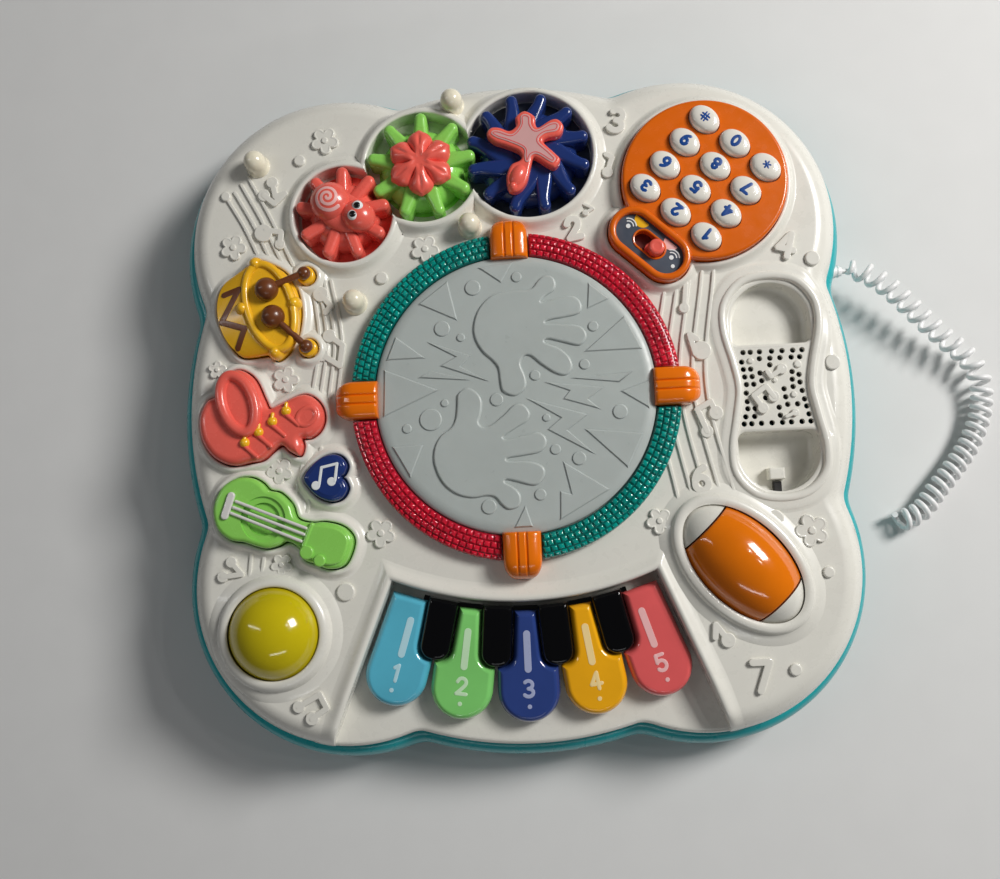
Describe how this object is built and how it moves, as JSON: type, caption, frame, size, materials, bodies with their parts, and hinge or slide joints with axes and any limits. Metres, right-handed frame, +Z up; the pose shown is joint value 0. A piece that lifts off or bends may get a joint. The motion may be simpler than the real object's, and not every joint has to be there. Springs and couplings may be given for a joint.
{
  "type": "musical activity table top",
  "caption": "Lobed square activity table top for toddlers, with drum pad, fan piano, phone keypad, meshing gears, spinning ball and roller, picture buttons, cradle and curly cord",
  "frame": {"origin": "on the ground under the middle of the casing, the curly cord left aside", "axes": "+Z up, +Y away from the player, who sits at the piano's side (-Y), +X to the player's right"},
  "size_m": [0.4358, 0.3572, 0.071],
  "materials": {
    "shell_white": "smooth warm white moulding, satin gloss",
    "tray_teal": "satin teal moulding",
    "pad_clear": "frosted translucent grey-white moulding",
    "ring_red": "clear red light-guide plastic",
    "ring_teal": "clear teal light-guide plastic",
    "clip_orange": "glossy orange moulding",
    "panel_orange": "satin orange moulding",
    "coral": "glossy coral red moulding",
    "lime": "glossy lime moulding",
    "navy": "glossy navy moulding",
    "yellow": "glossy yellow moulding with brown sticks",
    "ball_yellow": "clear yellow plastic",
    "key_white": "glossy white caps with blue digits",
    "slate": "matt slate plate with pale pictograms",
    "key_blue": "glossy sky-blue moulding",
    "key_green": "glossy green moulding",
    "key_navy": "glossy dark blue moulding",
    "key_amber": "glossy amber moulding",
    "key_red": "glossy red moulding",
    "black": "glossy black moulding",
    "ivory": "satin ivory moulding",
    "cord_white": "soft pale grey-white vinyl",
    "steel": "plain zinc-plated screw",
    "board_green": "green circuit board",
    "cell": "dark shrink-wrapped cells"
  },
  "bodies": {
    "casing": {"top_shell": "shell_white", "bottom_shell": "tray_teal", "battery_door": "tray_teal", "battery_pack": "cell", "casing_screw_1": "steel", "casing_screw_2": "steel", "casing_screw_3": "steel", "casing_screw_4": "steel", "door_screw": "steel", "main_board": "board_green", "speaker": "black", "light_ring_1": "ring_red", "light_ring_2": "ring_teal", "light_ring_3": "ring_red", "light_ring_4": "ring_teal", "ring_clip_right": "clip_orange", "ring_clip_rear": "clip_orange", "ring_clip_left": "clip_orange", "ring_clip_front": "clip_orange", "phone_panel": "panel_orange", "keypad_board": "board_green", "slider_plate": "slate", "black_keys": "black", "ball_peg_1": "ivory", "ball_peg_2": "ivory", "ball_peg_3": "ivory", "ball_peg_4": "ivory", "handset_cord": "cord_white"},
    "drum_pad": {"drum_pad": "pad_clear"},
    "star_wheel": {"star_gear": "navy", "star_cap": "coral"},
    "flower_wheel": {"flower_gear": "lime", "flower_cap": "coral"},
    "snail_wheel": {"snail_gear": "coral", "snail_cap": "coral"},
    "phone_key_1": {"phone_key_1": "key_white"},
    "phone_key_2": {"phone_key_2": "key_white"},
    "phone_key_3": {"phone_key_3": "key_white"},
    "phone_key_4": {"phone_key_4": "key_white"},
    "phone_key_5": {"phone_key_5": "key_white"},
    "phone_key_6": {"phone_key_6": "key_white"},
    "phone_key_7": {"phone_key_7": "key_white"},
    "phone_key_8": {"phone_key_8": "key_white"},
    "phone_key_9": {"phone_key_9": "key_white"},
    "phone_key_star": {"phone_key_star": "key_white"},
    "phone_key_0": {"phone_key_0": "key_white"},
    "phone_key_hash": {"phone_key_hash": "key_white"},
    "volume_slider": {"volume_slider": "coral"},
    "drum_button": {"drum_button": "yellow"},
    "sax_button": {"sax_button": "coral"},
    "guitar_button": {"guitar_button": "lime"},
    "heart_button": {"heart_button": "navy"},
    "spinning_ball": {"spinning_ball": "ball_yellow"},
    "spinning_roller": {"spinning_roller": "clip_orange"},
    "piano_key_1": {"piano_key_1": "key_blue"},
    "piano_key_2": {"piano_key_2": "key_green"},
    "piano_key_3": {"piano_key_3": "key_navy"},
    "piano_key_4": {"piano_key_4": "key_amber"},
    "piano_key_5": {"piano_key_5": "key_red"},
    "hook_switch": {"hook_switch": "shell_white"}
  },
  "joints": [
    {"name": "drum_pad_press", "type": "slide", "parent": "casing", "child": "drum_pad", "axis": [0, 0, -1], "range_m": [0, 0.002], "stiffness_N_per_m": 900, "springref_m": -0.005},
    {"name": "star_wheel_spin", "type": "hinge", "parent": "casing", "child": "star_wheel", "pos_m": [0.01191, 0.12705, 0.0463], "axis": [0, 0, 1], "continuous": true},
    {"name": "flower_wheel_spin", "type": "hinge", "parent": "casing", "child": "flower_wheel", "pos_m": [-0.043, 0.1235, 0.0463], "axis": [0, 0, 1], "continuous": true},
    {"name": "snail_wheel_spin", "type": "hinge", "parent": "casing", "child": "snail_wheel", "pos_m": [-0.08425, 0.10064, 0.0463], "axis": [0, 0, 1], "continuous": true},
    {"name": "phone_key_1_press", "type": "slide", "parent": "casing", "child": "phone_key_1", "axis": [0, 0, -1], "range_m": [0, 0.0013], "stiffness_N_per_m": 150, "springref_m": -0.002},
    {"name": "phone_key_2_press", "type": "slide", "parent": "casing", "child": "phone_key_2", "axis": [0, 0, -1], "range_m": [0, 0.0013], "stiffness_N_per_m": 150, "springref_m": -0.002},
    {"name": "phone_key_3_press", "type": "slide", "parent": "casing", "child": "phone_key_3", "axis": [0, 0, -1], "range_m": [0, 0.0013], "stiffness_N_per_m": 150, "springref_m": -0.002},
    {"name": "phone_key_4_press", "type": "slide", "parent": "casing", "child": "phone_key_4", "axis": [0, 0, -1], "range_m": [0, 0.0013], "stiffness_N_per_m": 150, "springref_m": -0.002},
    {"name": "phone_key_5_press", "type": "slide", "parent": "casing", "child": "phone_key_5", "axis": [0, 0, -1], "range_m": [0, 0.0013], "stiffness_N_per_m": 150, "springref_m": -0.002},
    {"name": "phone_key_6_press", "type": "slide", "parent": "casing", "child": "phone_key_6", "axis": [0, 0, -1], "range_m": [0, 0.0013], "stiffness_N_per_m": 150, "springref_m": -0.002},
    {"name": "phone_key_7_press", "type": "slide", "parent": "casing", "child": "phone_key_7", "axis": [0, 0, -1], "range_m": [0, 0.0013], "stiffness_N_per_m": 150, "springref_m": -0.002},
    {"name": "phone_key_8_press", "type": "slide", "parent": "casing", "child": "phone_key_8", "axis": [0, 0, -1], "range_m": [0, 0.0013], "stiffness_N_per_m": 150, "springref_m": -0.002},
    {"name": "phone_key_9_press", "type": "slide", "parent": "casing", "child": "phone_key_9", "axis": [0, 0, -1], "range_m": [0, 0.0013], "stiffness_N_per_m": 150, "springref_m": -0.002},
    {"name": "phone_key_star_press", "type": "slide", "parent": "casing", "child": "phone_key_star", "axis": [0, 0, -1], "range_m": [0, 0.0013], "stiffness_N_per_m": 150, "springref_m": -0.002},
    {"name": "phone_key_0_press", "type": "slide", "parent": "casing", "child": "phone_key_0", "axis": [0, 0, -1], "range_m": [0, 0.0013], "stiffness_N_per_m": 150, "springref_m": -0.002},
    {"name": "phone_key_hash_press", "type": "slide", "parent": "casing", "child": "phone_key_hash", "axis": [0, 0, -1], "range_m": [0, 0.0013], "stiffness_N_per_m": 150, "springref_m": -0.002},
    {"name": "volume_slider_slide", "type": "slide", "parent": "casing", "child": "volume_slider", "axis": [-0.7314, 0.682, 0], "range_m": [0, 0.008]},
    {"name": "drum_button_press", "type": "slide", "parent": "casing", "child": "drum_button", "axis": [0, 0, -1], "range_m": [0, 0.0018], "stiffness_N_per_m": 500, "springref_m": -0.004},
    {"name": "sax_button_press", "type": "slide", "parent": "casing", "child": "sax_button", "axis": [0, 0, -1], "range_m": [0, 0.0018], "stiffness_N_per_m": 500, "springref_m": -0.004},
    {"name": "guitar_button_press", "type": "slide", "parent": "casing", "child": "guitar_button", "axis": [0, 0, -1], "range_m": [0, 0.0018], "stiffness_N_per_m": 500, "springref_m": -0.004},
    {"name": "heart_button_press", "type": "slide", "parent": "casing", "child": "heart_button", "axis": [0, 0, -1], "range_m": [0, 0.0018], "stiffness_N_per_m": 500, "springref_m": -0.004},
    {"name": "spinning_ball_spin", "type": "hinge", "parent": "casing", "child": "spinning_ball", "pos_m": [-0.124, -0.11, 0.047], "axis": [1, 0, 0], "continuous": true},
    {"name": "spinning_roller_spin", "type": "hinge", "parent": "casing", "child": "spinning_roller", "pos_m": [0.1068, -0.0855, 0.048], "axis": [0.6858, -0.7278, 0], "continuous": true},
    {"name": "piano_key_1_tilt", "type": "hinge", "parent": "casing", "child": "piano_key_1", "pos_m": [-0.05263, -0.09914, 0.045], "axis": [0.9563, -0.2924, 0], "range_deg": [0, 3.5], "stiffness_Nm_per_rad": 0.2, "springref_deg": -5.73},
    {"name": "piano_key_2_tilt", "type": "hinge", "parent": "casing", "child": "piano_key_2", "pos_m": [-0.02661, -0.10502, 0.045], "axis": [0.989, -0.1478, 0], "range_deg": [0, 3.5], "stiffness_Nm_per_rad": 0.2, "springref_deg": -5.73},
    {"name": "piano_key_3_tilt", "type": "hinge", "parent": "casing", "child": "piano_key_3", "pos_m": [0, -0.107, 0.045], "axis": [1, 0, 0], "range_deg": [0, 3.5], "stiffness_Nm_per_rad": 0.2, "springref_deg": -5.73},
    {"name": "piano_key_4_tilt", "type": "hinge", "parent": "casing", "child": "piano_key_4", "pos_m": [0.02661, -0.10502, 0.045], "axis": [0.989, 0.1478, 0], "range_deg": [0, 3.5], "stiffness_Nm_per_rad": 0.2, "springref_deg": -5.73},
    {"name": "piano_key_5_tilt", "type": "hinge", "parent": "casing", "child": "piano_key_5", "pos_m": [0.05263, -0.09914, 0.045], "axis": [0.9563, 0.2924, 0], "range_deg": [0, 3.5], "stiffness_Nm_per_rad": 0.2, "springref_deg": -5.73},
    {"name": "hook_switch_press", "type": "slide", "parent": "casing", "child": "hook_switch", "axis": [0, 0, -1], "range_m": [0, 0.002], "stiffness_N_per_m": 200, "springref_m": -0.004}
  ],
  "couplings": [
    {"joint": "flower_wheel_spin", "follows": "star_wheel_spin", "ratio": -1.3333},
    {"joint": "snail_wheel_spin", "follows": "star_wheel_spin", "ratio": 1.3333}
  ]
}
